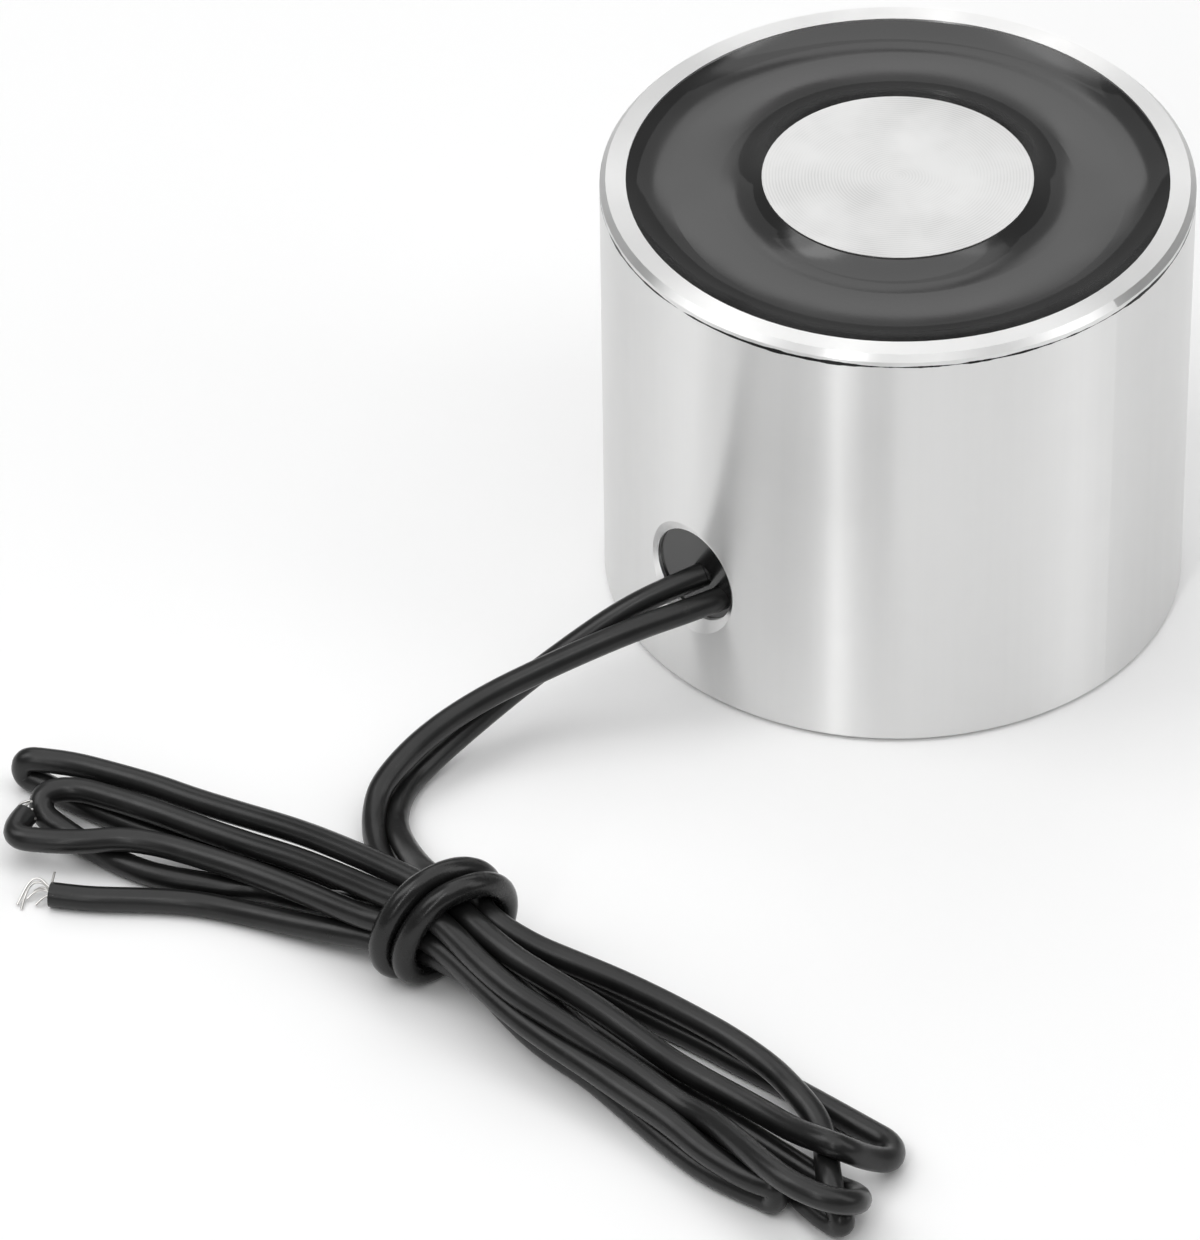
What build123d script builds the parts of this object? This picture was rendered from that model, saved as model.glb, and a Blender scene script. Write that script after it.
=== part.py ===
"""Round holding electromagnet with two flying leads folded into a tied hank.

Millimetres. The origin is the middle of the flat back, +Z points at the pole face, and the leads
leave the cup along -Y. The back of the cup and the hank lie on Z = 0.
"""

from build123d import *

import math
import os

# ---- steel cup and core -------------------------------------------------------------------
CUP_DIAMETER = 25.0
CUP_HEIGHT = 20.5
CUP_WALL = 1.1
CUP_BASE = 3.0
RIM_CHAMFER = 0.25
CORE_DIAMETER = 11.4
CORE_SPIGOT_DIAMETER = 7.0
THREAD_DIAMETER = 3.3  # the drilled wall of an M4 thread
THREAD_DEPTH = 9.0
THREAD_CHAMFER = 0.4

# ---- side hole for the leads --------------------------------------------------------------
EXIT_HEIGHT = 6.05
EXIT_DIAMETER = 4.35
EXIT_FLARE_DIAMETER = 5.5
EXIT_FLARE_DEPTH = 0.35
SEAL_RECESS = 0.5

# ---- coil -----------------------------------------------------------------------------------
BOBBIN_CLEARANCE = 0.1
BOBBIN_WALL = 0.6
FLANGE_RADIUS = 11.0
INSULATOR_THICKNESS = 0.2
BOBBIN_HEIGHT = 14.4
COIL_RADIUS = 9.2
TAPE_THICKNESS = 0.15
MAGNET_WIRE_DIAMETER = 0.3

# ---- potting --------------------------------------------------------------------------------
POTTING_BOTTOM = 17.7
POTTING_RECESS = 0.5  # middle of the resin below the rim
POTTING_CLIMB = 0.4  # how far the resin climbs the steel at each edge
POTTING_CLIMB_WIDTH = 1.8

# ---- leads ----------------------------------------------------------------------------------
LEAD_DIAMETER = 1.05
CONDUCTOR_DIAMETER = 0.5
BARE_LENGTH = 1.2
SPLICE_RADIUS = 10.5  # of the two ends of a splice, from the cup's axis
SPLICE_MIDDLE_RADIUS = 10.25  # of the middle of a splice
SPLICE_LENGTH = 2.6
SLEEVE_DIAMETER = 1.6
SLEEVE_WALL = 0.2
SLEEVE_GRIP = 1.3  # length of lead that the sleeve reaches back over

# Routes of the two leads, from the side hole to the hank, chosen by hand.
LEAD_A_ROUTE = [
    (1.4, -11.9, 5.45),
    (1.15, -13.2, 5.5),
    (-0.1, -15.8, 5.1),
    (-1.8, -18.7, 4.0),
    (-3.3, -21.6, 2.9),
    (-3.8, -24.5, 2.2),
    (-3.7, -26.6, 1.6),
    (-2.9, -28.7, 0.9),
    (-0.9, -30.0, 0.7),
    (1.2, -30.8, 1.1),
    (3.4, -31.1, 1.7),
]
LEAD_B_ROUTE = [
    (0.3, -11.9, 6.1),
    (-0.3, -13.2, 5.8),
    (-1.3, -15.1, 5.05),
    (-2.5, -17.5, 3.5),
    (-3.6, -20.1, 1.8),
    (-4.0, -22.6, 1.0),
    (-3.8, -24.7, 0.6),
    (-3.1, -26.6, 0.55),
    (-1.8, -28.0, 0.6),
    (0.4, -29.4, 1.4),
    (3.4, -30.7, 2.7),
]

# Free ends, from the tie outwards.
LEAD_A_END_ROUTE = [
    (2.0, -34.2, 2.2),
    (-0.6, -34.5, 1.9),
    (-3.1, -35.0, 1.7),
    (-5.4, -35.7, 1.6),
    (-7.2, -36.4, 1.6),
    (-8.6, -37.3, 1.6),
    (-9.6, -38.6, 1.6),
    (-10.7, -39.5, 1.5),
    (-11.8, -39.9, 1.45),
    (-12.7, -39.5, 1.4),
    (-13.1, -38.7, 1.4),
]
LEAD_B_END_ROUTE = [
    (2.2, -34.3, 1.1),
    (0.1, -35.1, 0.8),
    (-2.1, -35.9, 0.55),
    (-4.1, -36.9, 0.53),
    (-5.5, -38.0, 0.54),
    (-6.7, -39.1, 0.53),
    (-7.8, -40.1, 0.54),
    (-9.0, -40.9, 0.53),
]

# ---- hank -----------------------------------------------------------------------------------
# Stations along the hank: x, lowest y, highest y, lowest z, highest z of its outer shape.
HANK_STATIONS = [
    (-15.9, -37.3, -36.1, 0.2, 1.9),
    (-13.5, -38.7, -34.9, 0.0, 2.2),
    (-9.0, -38.2, -33.4, 0.0, 2.35),
    (-3.0, -35.6, -32.0, 0.0, 3.1),
    (1.5, -34.2, -29.8, 0.25, 3.9),
    (4.2, -34.0, -30.3, 1.08, 4.25),
    (7.2, -34.0, -30.3, 1.08, 4.25),
    (10.5, -34.5, -29.8, 0.0, 4.0),
    (14.5, -34.3, -28.4, 0.0, 3.4),
    (22.0, -34.3, -27.4, 0.0, 2.9),
    (26.5, -34.1, -26.9, 0.0, 3.2),
    (29.1, -32.8, -30.8, 0.3, 2.5),
]
HANK_CORNER = 0.55

# ---- tie --------------------------------------------------------------------------------------
TIE_X = (5.1, 6.1)
TIE_CORNER = 2.0
TIE_LEAN = 8.0  # degrees that the turns lean out of square with the hank


def bend_radii(points):
    """The largest even bend at each inner point: 0.45 of the shorter run over tan(half the turn)."""
    radii = []
    for before, corner, after in zip(points, points[1:], points[2:]):
        run_in = Vector(*corner) - Vector(*before)
        run_out = Vector(*after) - Vector(*corner)
        half_turn = math.radians(run_in.get_angle(run_out)) / 2
        radii.append(0.45 * min(run_in.length, run_out.length) / math.tan(half_turn))
    return radii


def tube(name, points, diameter):
    """A round tube along straight runs joined by tangent arcs."""
    radii = bend_radii(points)
    with BuildPart() as made:
        with BuildLine() as path:
            FilletPolyline(*points, radius=radii)
        route = path.wires()[0]
        with BuildSketch(Plane(origin=route @ 0, z_dir=route % 0)):
            Circle(diameter / 2)
        sweep(path=route)
    ideal = math.pi * (diameter / 2) ** 2 * route.length
    print(
        f"{name}: length {route.length:.1f}, volume/ideal {made.part.volume / ideal:.3f}, radii",
        [round(radius, 1) for radius in radii],
    )
    return made


def ring(outer, inner, bottom, top):
    """A plain round ring about the cup's axis."""
    with BuildPart() as made:
        with BuildSketch(Plane.XY.offset(bottom)):
            Circle(outer)
            Circle(inner, mode=Mode.SUBTRACT)
        extrude(amount=top - bottom)
    return made


def arc_point(degrees, radius, height):
    """A point round the cup's axis; 0 degrees is +X and -90 is the side hole."""
    angle = math.radians(degrees)
    return (radius * math.cos(angle), radius * math.sin(angle), height)


def save(made, name):
    """Label a finished piece and write it."""
    made.part.label = name
    export_step(made.part, f"parts/{name}.step")


os.makedirs("parts", exist_ok=True)

cup_radius = CUP_DIAMETER / 2
bore_radius = cup_radius - CUP_WALL
core_radius = CORE_DIAMETER / 2
exit_plane = Plane(origin=(0, 0, EXIT_HEIGHT), x_dir=(1, 0, 0), z_dir=(0, -1, 0))

# ---- pot_shell: turned cup with a hole for the core's spigot and a flared side hole ---------
with BuildPart() as pot_shell:
    with BuildSketch(Plane.XY):
        Circle(cup_radius)
    extrude(amount=CUP_HEIGHT)
    outer_edges = pot_shell.edges().filter_by(GeomType.CIRCLE)
    chamfer(outer_edges, length=RIM_CHAMFER)
    with BuildSketch(Plane.XY.offset(CUP_BASE)):
        Circle(bore_radius)
    extrude(amount=CUP_HEIGHT - CUP_BASE, mode=Mode.SUBTRACT)
    with BuildSketch(Plane.XY):
        Circle(CORE_SPIGOT_DIAMETER / 2)
    extrude(amount=CUP_BASE, mode=Mode.SUBTRACT)
    with BuildSketch(exit_plane):
        Circle(EXIT_DIAMETER / 2)
    extrude(amount=cup_radius + 1, mode=Mode.SUBTRACT)
    # The flare is a short cone whose wide end stands just outside the wall.
    with BuildSketch(exit_plane.offset(cup_radius - EXIT_FLARE_DEPTH)):
        Circle(EXIT_DIAMETER / 2)
    with BuildSketch(exit_plane.offset(cup_radius)):
        Circle(EXIT_FLARE_DIAMETER / 2)
    loft(mode=Mode.SUBTRACT)
save(pot_shell, "pot_shell")

# ---- centre_core: pole piece pressed into the base, blind M4 hole from the back --------------
with BuildPart() as centre_core:
    with BuildSketch(Plane.XY):
        Circle(CORE_SPIGOT_DIAMETER / 2)
    extrude(amount=CUP_BASE)
    with BuildSketch(Plane.XY.offset(CUP_BASE)):
        Circle(core_radius)
    extrude(amount=CUP_HEIGHT - CUP_BASE)
    with BuildSketch(Plane.XY):
        Circle(THREAD_DIAMETER / 2)
    extrude(amount=THREAD_DEPTH, mode=Mode.SUBTRACT)
    # Drill point above the thread, and a lead-in chamfer at its mouth.
    with BuildSketch(Plane.XZ):
        with BuildLine():
            Polyline(
                (0, THREAD_DEPTH),
                (THREAD_DIAMETER / 2, THREAD_DEPTH),
                (0, THREAD_DEPTH + THREAD_DIAMETER * 0.3),
                close=True,
            )
        make_face()
    revolve(axis=Axis.Z, mode=Mode.SUBTRACT)
    mouth = centre_core.edges().filter_by(GeomType.CIRCLE).group_by(Axis.Z)[0].sort_by(SortBy.RADIUS)[0]
    chamfer(mouth, length=THREAD_CHAMFER)
save(centre_core, "centre_core")

# ---- base_insulator: fibre washer under the bobbin ----------------------------------------------
bobbin_bore = core_radius + BOBBIN_CLEARANCE
bobbin_bottom = CUP_BASE + INSULATOR_THICKNESS
bobbin_top = bobbin_bottom + BOBBIN_HEIGHT
base_insulator = ring(FLANGE_RADIUS, bobbin_bore, CUP_BASE, bobbin_bottom)
save(base_insulator, "base_insulator")

# ---- bobbin: moulded tube with two flanges ---------------------------------------------------------
with BuildPart() as bobbin:
    with BuildSketch(Plane.XY.offset(bobbin_bottom)):
        Circle(bobbin_bore + BOBBIN_WALL)
        Circle(bobbin_bore, mode=Mode.SUBTRACT)
    extrude(amount=BOBBIN_HEIGHT)
    for flange_bottom in (bobbin_bottom, bobbin_top - BOBBIN_WALL):
        with BuildSketch(Plane.XY.offset(flange_bottom)):
            Circle(FLANGE_RADIUS)
            Circle(bobbin_bore, mode=Mode.SUBTRACT)
        extrude(amount=BOBBIN_WALL)
save(bobbin, "bobbin")

# ---- coil_winding and winding_tape -----------------------------------------------------------------
coil_bottom = bobbin_bottom + BOBBIN_WALL
coil_top = bobbin_top - BOBBIN_WALL
coil_winding = ring(COIL_RADIUS, bobbin_bore + BOBBIN_WALL, coil_bottom, coil_top)
save(coil_winding, "coil_winding")

winding_tape = ring(COIL_RADIUS + TAPE_THICKNESS, COIL_RADIUS, coil_bottom, coil_top)
save(winding_tape, "winding_tape")

# ---- leads inside the cup, their splices and the ends of the enamelled wire --------------------------
# Both leads turn off towards +X and run round the coil, A below B; B is spliced further on than A.
half_chord = math.sqrt(SPLICE_RADIUS**2 - SPLICE_MIDDLE_RADIUS**2)
inner_starts = {
    "a": [LEAD_A_ROUTE[0], (1.69, -10.4, 5.4), arc_point(-68, SPLICE_RADIUS, 4.9)],
    "b": [LEAD_B_ROUTE[0], (0.92, -10.4, 6.4), arc_point(-68, 10.35, 6.4), arc_point(-36, 10.35, 6.4)],
}
splice_degrees = {"a": -36, "b": 0}
splice_heights = {"a": 4.75, "b": 6.35}
tail_climbs = {"a": -0.5, "b": 3.0}
leads_inner = {}
for letter, inner_start in inner_starts.items():
    degrees = math.radians(splice_degrees[letter])
    outward = Vector(math.cos(degrees), math.sin(degrees), 0)
    along = Vector(-math.sin(degrees), math.cos(degrees), 0)
    middle = outward * SPLICE_MIDDLE_RADIUS + Vector(0, 0, splice_heights[letter])
    chord_start = middle - along * half_chord
    lead_end = chord_start + along * SLEEVE_GRIP
    inner_route = inner_start + [tuple(chord_start), tuple(lead_end)]
    lead_inner = tube(f"lead_{letter}_inner", inner_route, LEAD_DIAMETER)
    save(lead_inner, f"lead_{letter}_inner")
    leads_inner[letter] = lead_inner

    with BuildPart() as solder_joint:
        with BuildSketch(Plane(origin=lead_end, z_dir=along)):
            Circle(CONDUCTOR_DIAMETER / 2)
        extrude(amount=SPLICE_LENGTH)
        with BuildSketch(Plane(origin=lead_end + along * SPLICE_LENGTH * 0.3, z_dir=along)):
            Circle(CONDUCTOR_DIAMETER * 0.8)
        extrude(amount=SPLICE_LENGTH * 0.5)
    save(solder_joint, f"solder_joint_{letter}")

    with BuildPart() as splice_sleeve:
        with BuildSketch(Plane(origin=chord_start + along * 0.3, z_dir=along)):
            Circle(SLEEVE_DIAMETER / 2)
            Circle(SLEEVE_DIAMETER / 2 - SLEEVE_WALL, mode=Mode.SUBTRACT)
        extrude(amount=half_chord * 2 - 0.3)
    save(splice_sleeve, f"splice_sleeve_{letter}")

    # The enamelled wire leaves the solder and climbs beside the coil to its surface.
    tail_start = lead_end + along * SPLICE_LENGTH
    tail_out = tail_start + along * 1.0 - outward * 0.1
    tail_up = tail_out + along * 1.2 - outward * 0.5 + Vector(0, 0, tail_climbs[letter] * 0.3)
    tail_end = tail_up + along * 1.4 - outward * 0.75 + Vector(0, 0, tail_climbs[letter] * 0.7)
    tail_route = [tuple(point) for point in (tail_start, tail_out, tail_up, tail_end)]
    winding_tail = tube(f"winding_tail_{letter}", tail_route, MAGNET_WIRE_DIAMETER)
    save(winding_tail, f"winding_tail_{letter}")

# ---- leads outside the cup and their free ends ---------------------------------------------------------
lead_a = tube("lead_a", LEAD_A_ROUTE, LEAD_DIAMETER)
save(lead_a, "lead_a")
lead_b = tube("lead_b", LEAD_B_ROUTE, LEAD_DIAMETER)
save(lead_b, "lead_b")
lead_a_end = tube("lead_a_end", LEAD_A_END_ROUTE, LEAD_DIAMETER)
save(lead_a_end, "lead_a_end")
lead_b_end = tube("lead_b_end", LEAD_B_END_ROUTE, LEAD_DIAMETER)
save(lead_b_end, "lead_b_end")

# ---- bare strands on the stripped ends ---------------------------------------------------------------------
end_routes = {"a": LEAD_A_END_ROUTE, "b": LEAD_B_END_ROUTE}
stripped = {}
for letter, end_route in end_routes.items():
    tip = Vector(*end_route[-1])
    outward = (tip - Vector(*end_route[-2])).normalized()
    with BuildPart() as bare_strands:
        with BuildSketch(Plane(origin=tip, z_dir=outward)):
            Circle(CONDUCTOR_DIAMETER / 2)
        extrude(amount=BARE_LENGTH)
    save(bare_strands, f"bare_strands_{letter}")
    stripped[letter] = bare_strands

# ---- exit_seal: resin that fills the side hole round the leads ------------------------------------------------
with BuildPart() as exit_seal:
    with BuildSketch(exit_plane.offset(bore_radius - 0.6)):
        Circle(EXIT_DIAMETER / 2)
    extrude(amount=cup_radius - SEAL_RECESS - bore_radius + 0.6)
    for lead in (lead_a, lead_b, leads_inner["a"], leads_inner["b"]):
        add(lead.part, mode=Mode.SUBTRACT)
save(exit_seal, "exit_seal")

# ---- potting_resin: ring between core and rim, lower in the middle than at its edges ----------------------------
resin_edge = CUP_HEIGHT - POTTING_RECESS + POTTING_CLIMB
resin_middle = CUP_HEIGHT - POTTING_RECESS
with BuildPart() as potting_resin:
    with BuildSketch(Plane.XZ):
        with BuildLine():
            inner_foot = (core_radius + POTTING_CLIMB_WIDTH, resin_middle)
            outer_foot = (bore_radius - POTTING_CLIMB_WIDTH, resin_middle)
            Line((core_radius, POTTING_BOTTOM), (core_radius, resin_edge))
            TangentArc(inner_foot, (core_radius, resin_edge), tangent=(-1, 0), tangent_from_first=True)
            Line(inner_foot, outer_foot)
            TangentArc(outer_foot, (bore_radius, resin_edge), tangent=(1, 0))
            Line((bore_radius, resin_edge), (bore_radius, POTTING_BOTTOM))
            Line((bore_radius, POTTING_BOTTOM), (core_radius, POTTING_BOTTOM))
        make_face()
    revolve(axis=Axis.Z)
save(potting_resin, "potting_resin")

# ---- hank_tie: two turns of covered wire round the hank's waist ----------------------------------------------------
waist_low_y, waist_high_y, waist_low_z, waist_high_z = HANK_STATIONS[5][1:]
tie_plane_y = (waist_low_y + waist_high_y) / 2
tie_plane_z = (waist_low_z + waist_high_z) / 2
tie_width = waist_high_y - waist_low_y + LEAD_DIAMETER
tie_height = waist_high_z - waist_low_z + LEAD_DIAMETER
turn_wires = []
for tie_x in TIE_X:
    turn_plane = Plane(origin=(tie_x, tie_plane_y, tie_plane_z), x_dir=(0, 1, 0), z_dir=(1, 0, 0))
    with BuildSketch(turn_plane.rotated((0, TIE_LEAN, 0))) as turn:
        RectangleRounded(tie_width, tie_height, TIE_CORNER)
    turn_wires.append(turn.sketch.face().outer_wire())
with BuildPart() as hank_tie:
    for turn_wire in turn_wires:
        with BuildSketch(Plane(origin=turn_wire @ 0, z_dir=turn_wire % 0)):
            Circle(LEAD_DIAMETER / 2)
        sweep(path=turn_wire)
save(hank_tie, "hank_tie")

# ---- lead_hank: outer shape of the coiled length of both leads ----------------------------------------------------------
with BuildPart() as lead_hank:
    for x, low_y, high_y, low_z, high_z in HANK_STATIONS:
        station = Plane(
            origin=(x, (low_y + high_y) / 2, (low_z + high_z) / 2), x_dir=(0, 1, 0), z_dir=(1, 0, 0)
        )
        with BuildSketch(station):
            RectangleRounded(high_y - low_y, high_z - low_z, HANK_CORNER)
    loft(ruled=True)
    for piece in (lead_a, lead_b, lead_a_end, lead_b_end, stripped["a"], stripped["b"], hank_tie):
        add(piece.part, mode=Mode.SUBTRACT)
save(lead_hank, "lead_hank")
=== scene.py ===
"""Looks of the round holding electromagnet: cup, core, cast resin and two leads in a tied hank."""

import math

import bpy
from mathutils import Matrix, Vector


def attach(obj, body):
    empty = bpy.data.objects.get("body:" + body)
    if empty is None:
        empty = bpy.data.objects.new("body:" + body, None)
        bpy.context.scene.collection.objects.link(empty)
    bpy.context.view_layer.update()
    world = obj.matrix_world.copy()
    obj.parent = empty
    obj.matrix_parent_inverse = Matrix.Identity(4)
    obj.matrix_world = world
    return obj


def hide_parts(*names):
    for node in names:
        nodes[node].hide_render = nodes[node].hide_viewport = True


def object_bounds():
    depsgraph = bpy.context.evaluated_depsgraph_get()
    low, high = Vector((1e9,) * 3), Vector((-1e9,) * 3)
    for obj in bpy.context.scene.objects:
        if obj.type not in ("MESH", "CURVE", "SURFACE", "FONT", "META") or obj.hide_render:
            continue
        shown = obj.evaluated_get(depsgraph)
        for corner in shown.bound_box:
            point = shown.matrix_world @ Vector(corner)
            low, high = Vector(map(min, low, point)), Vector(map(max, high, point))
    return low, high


MM = 0.001

# Thickness of the covered wires and of one bare strand, in millimetres.
LEAD_DIAMETER = 1.05
STRAND_DIAMETER = 0.11

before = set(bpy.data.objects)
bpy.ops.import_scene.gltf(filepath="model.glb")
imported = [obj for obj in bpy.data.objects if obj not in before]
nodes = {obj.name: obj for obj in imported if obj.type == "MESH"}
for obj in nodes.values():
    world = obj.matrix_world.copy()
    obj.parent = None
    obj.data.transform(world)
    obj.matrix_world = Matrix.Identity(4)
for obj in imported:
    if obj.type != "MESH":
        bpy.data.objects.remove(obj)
cad_low, cad_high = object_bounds()

# The painted shadow line of the step lies just under the rim's chamfer and is broken where its half width
# falls below nothing.
# The resin fills the ring between the core and the bore.
SHADE_LINE_DEPTH = 0.48 * MM
SHADE_LINE_HALF_WIDTHS = (-0.01 * MM, 0.12 * MM)
CORE_RADIUS = 5.7 * MM
BORE_RADIUS = 11.4 * MM
shade_line_height = cad_high[2] - SHADE_LINE_DEPTH

# ---- camera: from above, at the corner between the leads and +X ----------------------------------
CAMERA_AZIMUTH = math.radians(45.9)
CAMERA_ELEVATION = math.radians(39.37)
CAMERA_ROLL = math.radians(-0.86)
CAMERA_DISTANCE = 0.3583
CAMERA_TARGET = Vector((-5.98, -11.95, 0.0)) * MM
CAMERA_LENS = 241.6
CAMERA_SENSOR = 36.0


def direction(azimuth, elevation):
    """Unit vector from the object towards a place seen at that azimuth and elevation."""
    return Vector(
        (
            math.sin(azimuth) * math.cos(elevation),
            -math.cos(azimuth) * math.cos(elevation),
            math.sin(elevation),
        )
    )


camera = bpy.data.objects.new("camera", bpy.data.cameras.new("camera"))
bpy.context.scene.collection.objects.link(camera)
bpy.context.scene.camera = camera
camera.data.lens = CAMERA_LENS
camera.data.sensor_width = CAMERA_SENSOR
camera.data.clip_start = 0.01
camera.data.clip_end = 10.0
back = direction(CAMERA_AZIMUTH, CAMERA_ELEVATION)
camera.location = CAMERA_TARGET + back * CAMERA_DISTANCE
aim = (-back).to_track_quat("-Z", "Y").to_matrix().to_4x4()
camera.matrix_world = (
    Matrix.Translation(camera.location) @ aim @ Matrix.Rotation(CAMERA_ROLL, 4, "Z")
)

# ---- light ---------------------------------------------------------------------------------------
WORLD_STRENGTH = 0.25
LAMP_AIM = Vector((0.0, -12.0, 0.0)) * MM

world = bpy.data.worlds.new("studio")
world.use_nodes = True
world.node_tree.nodes["Background"].inputs["Color"].default_value = (1.0, 1.0, 1.0, 1.0)
world.node_tree.nodes["Background"].inputs["Strength"].default_value = WORLD_STRENGTH
bpy.context.scene.world = world
bpy.context.scene.view_settings.view_transform = "Standard"


def softbox(name, azimuth, elevation, distance, width, height, power):
    """A rectangular lamp that faces the object: degrees, metres and watts."""
    lamp = bpy.data.lights.new(name, "AREA")
    lamp.shape = "RECTANGLE"
    lamp.size = width
    lamp.size_y = height
    lamp.energy = power
    holder = bpy.data.objects.new(name, lamp)
    away = direction(math.radians(azimuth), math.radians(elevation))
    holder.location = away * distance + LAMP_AIM
    holder.rotation_mode = "QUATERNION"
    holder.rotation_quaternion = (-away).to_track_quat("-Z", "Y")
    bpy.context.scene.collection.objects.link(holder)


softbox("softbox_back", 226, 43, 0.9, 0.7, 0.36, 0.92)
softbox("softbox_top", 20, 86, 0.9, 1.2, 1.2, 6.0)
softbox("softbox_left", -45, 48, 1.0, 0.5, 0.6, 2.0)
softbox("softbox_right", 120, 40, 1.0, 0.4, 0.7, 1.5)
softbox("strip_front", 23.2, 40, 1.0, 0.05, 0.9, 1.5)


# ---- materials -----------------------------------------------------------------------------------
def new_material(name, **fixed):
    """A Principled material with plain values on the shader's own sockets."""
    material = bpy.data.materials.new(name)
    material.use_nodes = True
    shader = material.node_tree.nodes["Principled BSDF"]
    for socket, value in fixed.items():
        shader.inputs[socket.replace("_", " ")].default_value = value
    return material, material.node_tree, shader


def add_node(tree, kind, **settings):
    """A shader node with its settings and socket values."""
    made = tree.nodes.new(kind)
    for key, value in settings.items():
        if key in made.inputs:
            made.inputs[key].default_value = value
        else:
            setattr(made, key, value)
    return made


def coordinates(tree, scale=(1, 1, 1), rotation=(0, 0, 0)):
    """Object coordinates, stretched and turned."""
    source = add_node(tree, "ShaderNodeTexCoord")
    mapping = add_node(tree, "ShaderNodeMapping")
    mapping.inputs["Scale"].default_value = scale
    mapping.inputs["Rotation"].default_value = rotation
    tree.links.new(source.outputs["Object"], mapping.inputs["Vector"])
    return mapping.outputs["Vector"]


def noise(tree, vector, scale, detail=4.0, roughness=0.55):
    """Cloudy noise over those coordinates."""
    made = add_node(tree, "ShaderNodeTexNoise")
    made.inputs["Scale"].default_value = scale
    made.inputs["Detail"].default_value = detail
    made.inputs["Roughness"].default_value = roughness
    tree.links.new(vector, made.inputs["Vector"])
    return made.outputs["Fac"]


def ramp(tree, value, low, high, start=0.35, end=0.65):
    """Blend of two greys or colours by a value."""
    made = add_node(tree, "ShaderNodeValToRGB")
    made.color_ramp.elements[0].position = start
    made.color_ramp.elements[0].color = (*low, 1.0)
    made.color_ramp.elements[1].position = end
    made.color_ramp.elements[1].color = (*high, 1.0)
    tree.links.new(value, made.inputs["Fac"])
    return made.outputs["Color"]


def spread(tree, value, low, high, start=0.3, end=0.7):
    """Map a value into a range."""
    made = add_node(tree, "ShaderNodeMapRange")
    made.inputs["From Min"].default_value = start
    made.inputs["From Max"].default_value = end
    made.inputs["To Min"].default_value = low
    made.inputs["To Max"].default_value = high
    tree.links.new(value, made.inputs["Value"])
    return made.outputs["Result"]


def bump(tree, height, strength, distance, before=None):
    """Relief of a height, in metres, on top of an earlier one."""
    made = add_node(tree, "ShaderNodeBump")
    made.inputs["Strength"].default_value = strength
    made.inputs["Distance"].default_value = distance
    tree.links.new(height, made.inputs["Height"])
    if before is not None:
        tree.links.new(before, made.inputs["Normal"])
    return made.outputs["Normal"]


def plain_finish(name, dark, light, rough, grain, depth, stretch=(1, 1, 1), **fixed):
    """A material with mottled colour, uneven gloss and a fine grain."""
    material, tree, shader = new_material(name, **fixed)
    vector = coordinates(tree, stretch)
    broad = noise(tree, vector, grain * 0.12, 3.0)
    fine = noise(tree, vector, grain, 5.0)
    tree.links.new(ramp(tree, broad, dark, light), shader.inputs["Base Color"])
    tree.links.new(spread(tree, broad, rough[0], rough[1]), shader.inputs["Roughness"])
    tree.links.new(bump(tree, fine, 0.5, depth), shader.inputs["Normal"])
    return material


def shell_material():
    """Polished plating that smears reflections upright, with a ragged painted shadow line under the
    chamfer.
    """
    material, tree, shader = new_material(
        "polished_nickel", Metallic=1.0, Anisotropic=1.0, Anisotropic_Rotation=0.25
    )
    turned = noise(tree, coordinates(tree, (60, 60, 9000)), 1.0, 3.0)
    upright = noise(tree, coordinates(tree, (700, 700, 12)), 1.0, 4.0)
    cloud = noise(tree, coordinates(tree), 110.0, 3.0)
    slanted = noise(tree, coordinates(tree, (2600, 2600, 150), (0.5, 0.35, 0.0)), 1.0, 3.0)
    tone = add_node(tree, "ShaderNodeMix", data_type="FLOAT")
    tone.inputs[0].default_value = 0.4
    tree.links.new(cloud, tone.inputs[2])
    tree.links.new(upright, tone.inputs[3])
    color = ramp(tree, tone.outputs[0], (0.82, 0.82, 0.815), (0.89, 0.89, 0.885))
    # A fine painted shadow line, the shade of a small step where the chamfer meets the wall, broken here
    # and there.
    place = add_node(tree, "ShaderNodeSeparateXYZ")
    tree.links.new(coordinates(tree), place.inputs[0])
    below = add_node(tree, "ShaderNodeMath", operation="SUBTRACT")
    tree.links.new(place.outputs["Z"], below.inputs[0])
    below.inputs[1].default_value = shade_line_height
    apart = add_node(tree, "ShaderNodeMath", operation="ABSOLUTE")
    tree.links.new(below.outputs[0], apart.inputs[0])
    breaks = noise(tree, coordinates(tree, (1, 1, 0.2)), 420.0, 4.0)
    ragged = spread(tree, breaks, *SHADE_LINE_HALF_WIDTHS)
    inside = add_node(tree, "ShaderNodeMath", operation="LESS_THAN")
    tree.links.new(apart.outputs[0], inside.inputs[0])
    tree.links.new(ragged, inside.inputs[1])
    shade_line = add_node(tree, "ShaderNodeMix", data_type="RGBA")
    tree.links.new(inside.outputs[0], shade_line.inputs[0])
    tree.links.new(color, shade_line.inputs[6])
    shade_line.inputs[7].default_value = (0.03, 0.03, 0.03, 1.0)
    tree.links.new(shade_line.outputs[2], shader.inputs["Base Color"])
    tree.links.new(spread(tree, tone.outputs[0], 0.29, 0.37), shader.inputs["Roughness"])
    around = add_node(tree, "ShaderNodeTangent", direction_type="RADIAL", axis="Z")
    tree.links.new(around.outputs["Tangent"], shader.inputs["Tangent"])
    lines = bump(tree, turned, 0.25, 0.000002)
    scratches = bump(tree, slanted, 0.10, 0.0000015, lines)
    tree.links.new(scratches, shader.inputs["Normal"])
    return material


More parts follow.
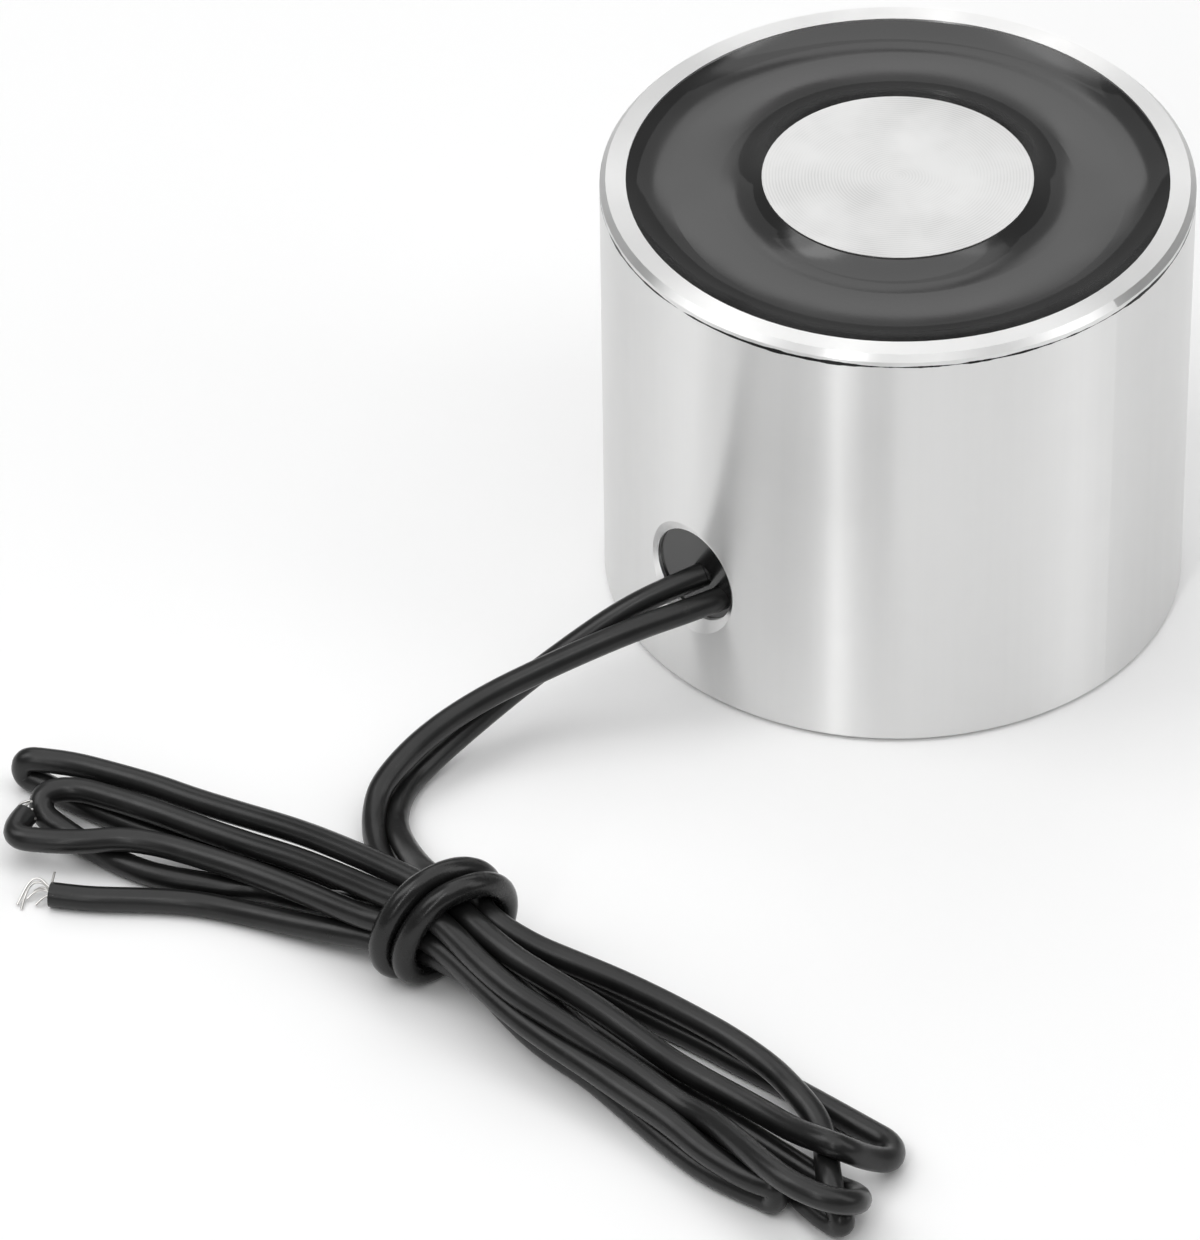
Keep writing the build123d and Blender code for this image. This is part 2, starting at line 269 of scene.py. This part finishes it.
def core_material():
    """Steel with fine, uneven turning marks round the axis."""
    material, tree, shader = new_material("turned_steel", Metallic=1.0, Anisotropic=0.35)
    vector = coordinates(tree)
    rings = add_node(tree, "ShaderNodeTexWave", wave_type="RINGS", rings_direction="Z")
    rings.inputs["Scale"].default_value = 2300.0
    rings.inputs["Distortion"].default_value = 2.6
    rings.inputs["Detail"].default_value = 3.0
    rings.inputs["Detail Scale"].default_value = 0.3
    tree.links.new(vector, rings.inputs["Vector"])
    uneven = noise(tree, vector, 260.0, 3.0)
    fine = noise(tree, vector, 9000.0, 3.0)
    marks = add_node(tree, "ShaderNodeMath", operation="MULTIPLY")
    tree.links.new(rings.outputs["Fac"], marks.inputs[0])
    tree.links.new(spread(tree, uneven, 0.0, 1.0, 0.35, 0.65), marks.inputs[1])
    color = ramp(tree, marks.outputs[0], (0.76, 0.76, 0.755), (0.66, 0.66, 0.655), 0.1, 0.9)
    tree.links.new(color, shader.inputs["Base Color"])
    tree.links.new(spread(tree, uneven, 0.30, 0.42), shader.inputs["Roughness"])
    turned = bump(tree, marks.outputs[0], 0.3, 0.000003)
    tree.links.new(bump(tree, fine, 0.2, 0.000003, turned), shader.inputs["Normal"])
    return material


def resin_material():
    """Glossy black resin, slightly wavy and dished."""
    material, tree, shader = new_material("cast_resin", IOR=1.56, Coat_Weight=0.3, Coat_Roughness=0.05)
    vector = coordinates(tree)
    cloud = noise(tree, vector, 140.0, 2.0)
    waves = noise(tree, vector, 210.0, 1.0)
    dust = noise(tree, vector, 5200.0, 2.0)
    color = ramp(tree, cloud, (0.004, 0.004, 0.004), (0.010, 0.010, 0.010))
    tree.links.new(color, shader.inputs["Base Color"])
    tree.links.new(spread(tree, cloud, 0.10, 0.26), shader.inputs["Roughness"])
    # The surface dishes evenly between the core and the rim.
    span = add_node(tree, "ShaderNodeVectorMath", operation="LENGTH")
    tree.links.new(coordinates(tree, (1, 1, 0)), span.inputs[0])
    across = spread(tree, span.outputs["Value"], -1.0, 1.0, CORE_RADIUS, BORE_RADIUS)
    dish = add_node(tree, "ShaderNodeMath", operation="MULTIPLY")
    tree.links.new(across, dish.inputs[0])
    tree.links.new(across, dish.inputs[1])
    hollow = bump(tree, dish.outputs[0], 1.0, 0.0004)
    broad = bump(tree, waves, 0.15, 0.0003, hollow)
    tree.links.new(bump(tree, dust, 0.10, 0.00001, broad), shader.inputs["Normal"])
    return material


def lead_material(name, gloss):
    """Soft black covering with faint scuffs."""
    material, tree, shader = new_material(
        name, IOR=1.5, Specular_IOR_Level=0.34, Coat_Weight=0.12, Coat_Roughness=0.25
    )
    vector = coordinates(tree)
    cloud = noise(tree, vector, 420.0, 3.0)
    grain = noise(tree, vector, 5200.0, 4.0)
    scuff = noise(tree, vector, 1500.0, 5.0, 0.7)
    color = ramp(tree, cloud, (0.006, 0.006, 0.006), (0.012, 0.012, 0.012))
    worn = add_node(tree, "ShaderNodeMix", data_type="RGBA")
    tree.links.new(spread(tree, scuff, 0.0, 0.35, 0.62, 0.82), worn.inputs[0])
    tree.links.new(color, worn.inputs[6])
    worn.inputs[7].default_value = (0.055, 0.055, 0.055, 1.0)
    tree.links.new(worn.outputs[2], shader.inputs["Base Color"])
    tree.links.new(spread(tree, scuff, gloss[0], gloss[1]), shader.inputs["Roughness"])
    tree.links.new(bump(tree, grain, 0.35, 0.000012), shader.inputs["Normal"])
    return material


def dress(name, material):
    """Give a carried-over CAD node its material."""
    node = nodes[name]
    node.data.materials.clear()
    node.data.materials.append(material)


nickel = shell_material()
steel = core_material()
resin = resin_material()
pvc = lead_material("black_pvc", (0.27, 0.38))
tie_pvc = lead_material("black_pvc_tight", (0.18, 0.32))
tinned = plain_finish(
    "tinned_strand", (0.55, 0.54, 0.52), (0.80, 0.79, 0.77), (0.22, 0.40), 4000, 0.000005, Metallic=1.0
)
copper = plain_finish(
    "enamelled_wire",
    (0.42, 0.13, 0.05),
    (0.62, 0.24, 0.10),
    (0.22, 0.34),
    1.0,
    0.00008,
    (400, 400, 3000),
    Metallic=0.6,
)
nylon = plain_finish("moulded_nylon", (0.70, 0.68, 0.62), (0.80, 0.78, 0.73), (0.40, 0.55), 1800, 0.00001)
fibre = plain_finish("fibre_sheet", (0.24, 0.13, 0.07), (0.34, 0.20, 0.11), (0.60, 0.80), 2600, 0.00002)
film = plain_finish("film_tape", (0.66, 0.50, 0.06), (0.76, 0.60, 0.10), (0.25, 0.40), 900, 0.00001)
solder = plain_finish(
    "solder", (0.52, 0.52, 0.52), (0.72, 0.72, 0.71), (0.20, 0.36), 2200, 0.00003, Metallic=1.0
)
sleeving = plain_finish(
    "shrink_sleeving", (0.012, 0.012, 0.012), (0.03, 0.03, 0.03), (0.45, 0.6), 2600, 0.00002
)

dress("pot_shell", nickel)
dress("centre_core", steel)
dress("potting_resin", resin)
dress("exit_seal", resin)
dress("base_insulator", fibre)
dress("bobbin", nylon)
dress("coil_winding", copper)
dress("winding_tape", film)
for letter in "ab":
    dress(f"winding_tail_{letter}", copper)
    dress(f"solder_joint_{letter}", solder)
    dress(f"splice_sleeve_{letter}", sleeving)
    dress(f"lead_{letter}_inner", pvc)

# ---- leads ---------------------------------------------------------------------------------------
# Each lead is one spline in millimetres: to the tie, then out and back in the hank, then its free end.
LEAD_A_ROUTE = [
    (1.4, -11.9, 5.45),
    (1.15, -13.2, 5.5),
    (-0.1, -15.8, 5.1),
    (-1.8, -18.7, 4.0),
    (-3.3, -21.6, 2.9),
    (-3.8, -24.5, 2.2),
    (-3.6, -27.0, 1.5),
    (-3.1, -28.0, 1.0),
    (-2.1, -29.0, 0.7),
    (-0.5, -30.1, 0.8),
    (1.6, -30.8, 1.2),
    (5.6, -31.19, 2.2),
    (7.8, -30.7, 2.0),
    (10.1, -30.1, 1.4),
    (12.2, -29.3, 0.8),
    (14.5, -28.8, 0.55),
    (16.8, -28.4, 0.53),
    (18.8, -28.2, 0.53),
    (20.8, -27.9, 0.53),
    (22.8, -27.7, 0.53),
    (25.0, -27.5, 0.53),
    (26.3, -27.4, 0.55),
    (27.1, -28.3, 0.8),
    (26.8, -29.4, 1.5),
    (26.5, -30.5, 2.55),
    (25.6, -30.8, 2.6),
    (23.9, -30.7, 2.0),
    (21.7, -30.6, 1.7),
    (19.6, -30.8, 1.65),
    (17.6, -31.1, 1.8),
    (16.0, -31.4, 2.3),
    (14.2, -31.8, 2.9),
    (12.3, -32.2, 3.3),
    (9.5, -32.6, 3.6),
    (5.6, -31.99, 3.7),
    (2.6, -32.2, 3.5),
    (-0.7, -32.4, 3.0),
    (-2.9, -32.6, 2.6),
    (-5.4, -33.1, 2.2),
    (-7.9, -33.7, 1.9),
    (-9.8, -34.1, 1.75),
    (-11.6, -34.7, 1.65),
    (-13.4, -35.4, 1.6),
    (-14.5, -36.1, 1.6),
    (-15.3, -36.7, 1.6),
    (-15.4, -36.7, 0.55),
    (-14.4, -36.4, 0.53),
    (-13.1, -36.3, 0.53),
    (-11.1, -35.9, 0.53),
    (-9.0, -35.4, 0.53),
    (-6.8, -34.5, 0.53),
    (-4.6, -33.7, 0.55),
    (-1.9, -32.9, 0.6),
    (0.9, -32.4, 0.8),
    (3.2, -32.0, 1.2),
    (5.6, -31.95, 1.5),
    (8.0, -32.3, 0.65),
    (10.2, -32.8, 0.53),
    (12.4, -33.1, 0.53),
    (14.6, -33.0, 0.53),
    (17.3, -33.3, 0.53),
    (19.8, -33.6, 0.53),
    (22.0, -33.7, 0.53),
    (23.9, -33.4, 0.53),
    (24.6, -33.2, 0.53),
    (25.3, -33.1, 0.53),
    (25.5, -33.2, 1.6),
    (24.9, -33.4, 1.55),
    (23.9, -33.6, 1.5),
    (21.9, -33.7, 1.5),
    (19.8, -33.5, 1.6),
    (17.5, -33.6, 1.7),
    (15.3, -33.7, 1.9),
    (13.3, -33.9, 2.1),
    (11.0, -34.0, 2.4),
    (5.6, -33.25, 2.65),
    (3.3, -34.0, 2.4),
    (2.0, -34.2, 2.2),
    (-0.6, -34.5, 1.9),
    (-3.1, -35.0, 1.7),
    (-5.4, -35.7, 1.6),
    (-7.2, -36.4, 1.6),
    (-8.6, -37.3, 1.6),
    (-9.6, -38.6, 1.6),
    (-10.9, -39.6, 1.5),
    (-11.9, -40.2, 1.45),
    (-12.5, -39.6, 1.4),
    (-12.7, -38.9, 1.4),
]
LEAD_B_ROUTE = [
    (0.3, -11.9, 6.1),
    (-0.3, -13.2, 5.8),
    (-1.3, -15.1, 5.05),
    (-2.5, -17.5, 3.5),
    (-3.6, -20.1, 1.8),
    (-3.8, -24.7, 0.6),
    (-3.1, -26.6, 0.55),
    (-1.9, -28.0, 0.6),
    (0.4, -29.4, 1.4),
    (3.4, -30.9, 2.8),
    (5.6, -30.95, 3.4),
    (7.5, -31.3, 3.2),
    (9.4, -30.9, 2.8),
    (11.1, -30.2, 2.5),
    (12.8, -29.6, 2.3),
    (14.6, -29.1, 2.1),
    (16.4, -28.7, 1.9),
    (18.4, -28.4, 1.75),
    (20.6, -28.4, 1.65),
    (22.4, -28.8, 1.65),
    (23.6, -29.0, 1.35),
    (24.7, -29.6, 1.1),
    (25.6, -30.5, 1.5),
    (26.6, -31.4, 1.65),
    (27.4, -31.9, 1.2),
    (28.3, -32.3, 1.05),
    (28.0, -32.3, 0.53),
    (26.9, -32.3, 0.53),
    (25.7, -32.1, 0.53),
    (24.4, -31.9, 0.53),
    (22.3, -32.0, 0.53),
    (20.3, -32.3, 0.53),
    (18.3, -32.4, 0.53),
    (16.2, -32.2, 0.9),
    (14.0, -32.3, 1.5),
    (12.0, -32.3, 2.1),
    (9.8, -32.3, 2.6),
    (5.6, -32.25, 2.65),
    (3.0, -32.8, 2.2),
    (0.8, -33.5, 1.4),
    (-1.4, -34.1, 0.8),
    (-3.0, -34.5, 0.53),
    (-4.0, -35.4, 0.53),
    (-5.1, -36.1, 0.53),
    (-6.6, -37.0, 0.53),
    (-8.1, -37.5, 0.53),
    (-10.3, -37.8, 0.53),
    (-11.6, -37.9, 0.65),
    (-12.6, -38.2, 1.1),
    (-13.1, -37.6, 1.6),
    (-12.3, -36.5, 1.65),
    (-10.7, -35.9, 1.7),
    (-8.5, -35.2, 1.75),
    (-6.6, -34.7, 1.8),
    (-4.1, -34.1, 2.0),
    (-1.6, -33.6, 2.4),
    (1.2, -33.4, 2.9),
    (3.5, -33.3, 3.3),
    (5.6, -33.03, 3.7),
    (10.6, -33.9, 3.4),
    (13.5, -33.4, 2.9),
    (15.4, -33.0, 2.4),
    (17.2, -32.6, 1.9),
    (19.4, -32.5, 1.6),
    (21.0, -32.5, 1.9),
    (23.1, -33.0, 2.4),
    (25.2, -33.5, 2.75),
    (26.8, -33.6, 2.8),
    (28.4, -33.0, 2.6),
    (28.8, -31.9, 2.1),
    (27.5, -30.7, 0.8),
    (26.3, -30.8, 0.53),
    (24.3, -30.9, 0.53),
    (21.3, -31.0, 0.53),
    (18.6, -31.3, 0.55),
    (16.5, -31.3, 0.7),
    (14.0, -31.3, 0.9),
    (12.0, -31.6, 1.2),
    (10.0, -32.4, 1.55),
    (8.0, -33.0, 1.65),
    (5.6, -33.16, 1.58),
    (3.5, -34.0, 1.4),
    (2.2, -34.3, 1.1),
    (0.1, -35.1, 0.8),
    (-2.1, -35.9, 0.55),
    (-4.1, -36.9, 0.53),
    (-5.5, -38.0, 0.53),
    (-6.7, -39.1, 0.53),
    (-7.8, -40.1, 0.53),
    (-9.0, -40.9, 0.53),
]


def wire(name, routes, diameter, material, resolution=10, rounds=6):
    """A curve object of smooth round wires through those control points, in millimetres."""
    data = bpy.data.curves.new(name, "CURVE")
    data.dimensions = "3D"
    data.bevel_depth = diameter / 2 * MM
    data.bevel_resolution = rounds
    data.use_fill_caps = True
    data.resolution_u = resolution
    for route in routes:
        spline = data.splines.new("NURBS")
        spline.points.add(len(route) - 1)
        for point, place in zip(spline.points, route):
            point.co = (*(Vector(place) * MM), 1.0)
        spline.order_u = 3
        spline.use_endpoint_u = True
    data.materials.append(material)
    made = bpy.data.objects.new(name, data)
    bpy.context.scene.collection.objects.link(made)
    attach(made, "root")
    return made


lead_a = wire("lead_a_cord", [LEAD_A_ROUTE], LEAD_DIAMETER, pvc)
lead_b = wire("lead_b_cord", [LEAD_B_ROUTE], LEAD_DIAMETER, pvc)
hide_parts("lead_a", "lead_a_end", "lead_hank")
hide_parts("lead_b", "lead_b_end", "lead_hank")

# ---- tie: one covered wire wound twice round the hank --------------------------------------------
# Control points in millimetres: the left turn, then up over it at the far side into the right turn.
TIE_ROUTE = [
    (5.4, -31.6, 0.53),
    (4.9, -33.2, 0.53),
    (4.5, -34.4, 0.8),
    (4.4, -34.85, 2.0),
    (4.6, -34.5, 3.4),
    (4.85, -33.5, 4.5),
    (5.2, -32.2, 4.9),
    (5.5, -31.0, 4.7),
    (5.75, -30.1, 4.0),
    (5.8, -29.7, 2.9),
    (5.8, -29.9, 1.5),
    (5.8, -30.6, 0.6),
    (5.6, -32.0, 0.53),
    (5.5, -33.3, 0.53),
    (5.4, -34.2, 0.95),
    (5.4, -34.5, 2.1),
    (5.65, -34.1, 3.4),
    (6.1, -33.1, 4.6),
    (6.55, -32.0, 4.9),
    (6.75, -30.9, 4.6),
    (6.7, -30.0, 3.7),
    (6.6, -29.7, 2.5),
    (6.5, -30.1, 1.2),
    (6.4, -31.0, 0.53),
]

tie = wire("hank_tie_wire", [TIE_ROUTE], LEAD_DIAMETER, tie_pvc, resolution=12, rounds=8)
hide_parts("hank_tie")

# ---- bare strands at the stripped ends -----------------------------------------------------------
# Routes of the fine tinned strands, in millimetres, each from inside its lead outwards.
STRANDS_A = [
    [
        (-12.6, -39.5, 1.5),
        (-12.86, -39.0, 1.5),
        (-13.06, -39.0, 1.75),
        (-12.93, -38.8, 1.9),
        (-12.7, -38.6, 2.0),
    ],
    [
        (-12.6, -39.5, 1.4),
        (-12.7, -39.0, 1.5),
        (-12.73, -38.95, 1.65),
        (-12.62, -38.9, 1.75),
        (-12.48, -38.8, 1.8),
    ],
    [
        (-12.6, -39.4, 1.3),
        (-12.6, -39.0, 1.35),
        (-12.45, -38.75, 1.4),
        (-12.3, -38.8, 1.45),
        (-12.15, -38.85, 1.5),
    ],
    [
        (-12.6, -39.5, 1.4),
        (-12.75, -38.9, 1.4),
        (-12.8, -38.6, 1.45),
        (-12.7, -38.4, 1.4),
        (-12.6, -38.3, 1.3),
    ],
    [
        (-12.65, -39.5, 1.5),
        (-12.8, -38.9, 1.6),
        (-12.85, -38.7, 1.8),
        (-12.7, -38.5, 1.9),
    ],
]
STRANDS_B = [
    [
        (-8.6, -40.6, 0.6),
        (-9.25, -40.75, 0.65),
        (-9.75, -40.7, 0.78),
        (-10.05, -40.85, 0.75),
        (-10.1, -41.2, 0.55),
        (-10.0, -41.6, 0.3),
        (-9.87, -42.0, 0.1),
    ],
    [
        (-8.6, -40.6, 0.5),
        (-9.3, -40.7, 0.5),
        (-9.7, -40.65, 0.57),
        (-9.95, -40.85, 0.6),
        (-10.05, -41.1, 0.48),
        (-9.95, -41.5, 0.25),
        (-9.55, -42.05, 0.08),
    ],
    [
        (-8.7, -40.6, 0.7),
        (-9.1, -40.75, 0.8),
        (-9.12, -40.65, 1.0),
        (-9.2, -40.5, 1.15),
        (-9.23, -40.39, 1.3),
    ],
    [
        (-8.7, -40.7, 0.5),
        (-9.1, -40.95, 0.45),
        (-9.2, -41.1, 0.35),
        (-9.25, -41.3, 0.25),
        (-9.3, -41.5, 0.12),
    ],
    [
        (-8.7, -40.7, 0.6),
        (-9.2, -40.9, 0.55),
        (-9.5, -40.95, 0.5),
        (-9.75, -41.15, 0.35),
        (-9.8, -41.5, 0.15),
    ],
    [
        (-8.7, -40.6, 0.5),
        (-9.2, -40.8, 0.4),
        (-9.45, -40.75, 0.45),
        (-9.75, -40.8, 0.4),
        (-9.9, -41.0, 0.2),
    ],
]

strands_a = wire("bare_strands_a_wires", STRANDS_A, STRAND_DIAMETER, tinned, resolution=8, rounds=3)
strands_b = wire("bare_strands_b_wires", STRANDS_B, STRAND_DIAMETER, tinned, resolution=8, rounds=3)
for strands, letter in ((strands_a, "a"), (strands_b, "b")):
    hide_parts(f"bare_strands_{letter}")

# ---- floor ---------------------------------------------------------------------------------------
FLOOR_REACH = 3.0
floor_mesh = bpy.data.meshes.new("floor")
corners = ((-1, -1), (1, -1), (1, 1), (-1, 1))
floor_mesh.from_pydata(
    [(x * FLOOR_REACH, y * FLOOR_REACH, 0.0) for x, y in corners],
    [],
    [(0, 1, 2, 3)],
)
floor = bpy.data.objects.new("floor", floor_mesh)
bpy.context.scene.collection.objects.link(floor)
floor_material, floor_tree, floor_shader = new_material("pale_floor", Roughness=0.6)
floor_cloud = noise(floor_tree, coordinates(floor_tree), 6.0, 2.0)
floor_color = ramp(floor_tree, floor_cloud, (0.90, 0.90, 0.90), (0.92, 0.92, 0.92))
floor_tree.links.new(floor_color, floor_shader.inputs["Base Color"])
floor_mesh.materials.append(floor_material)
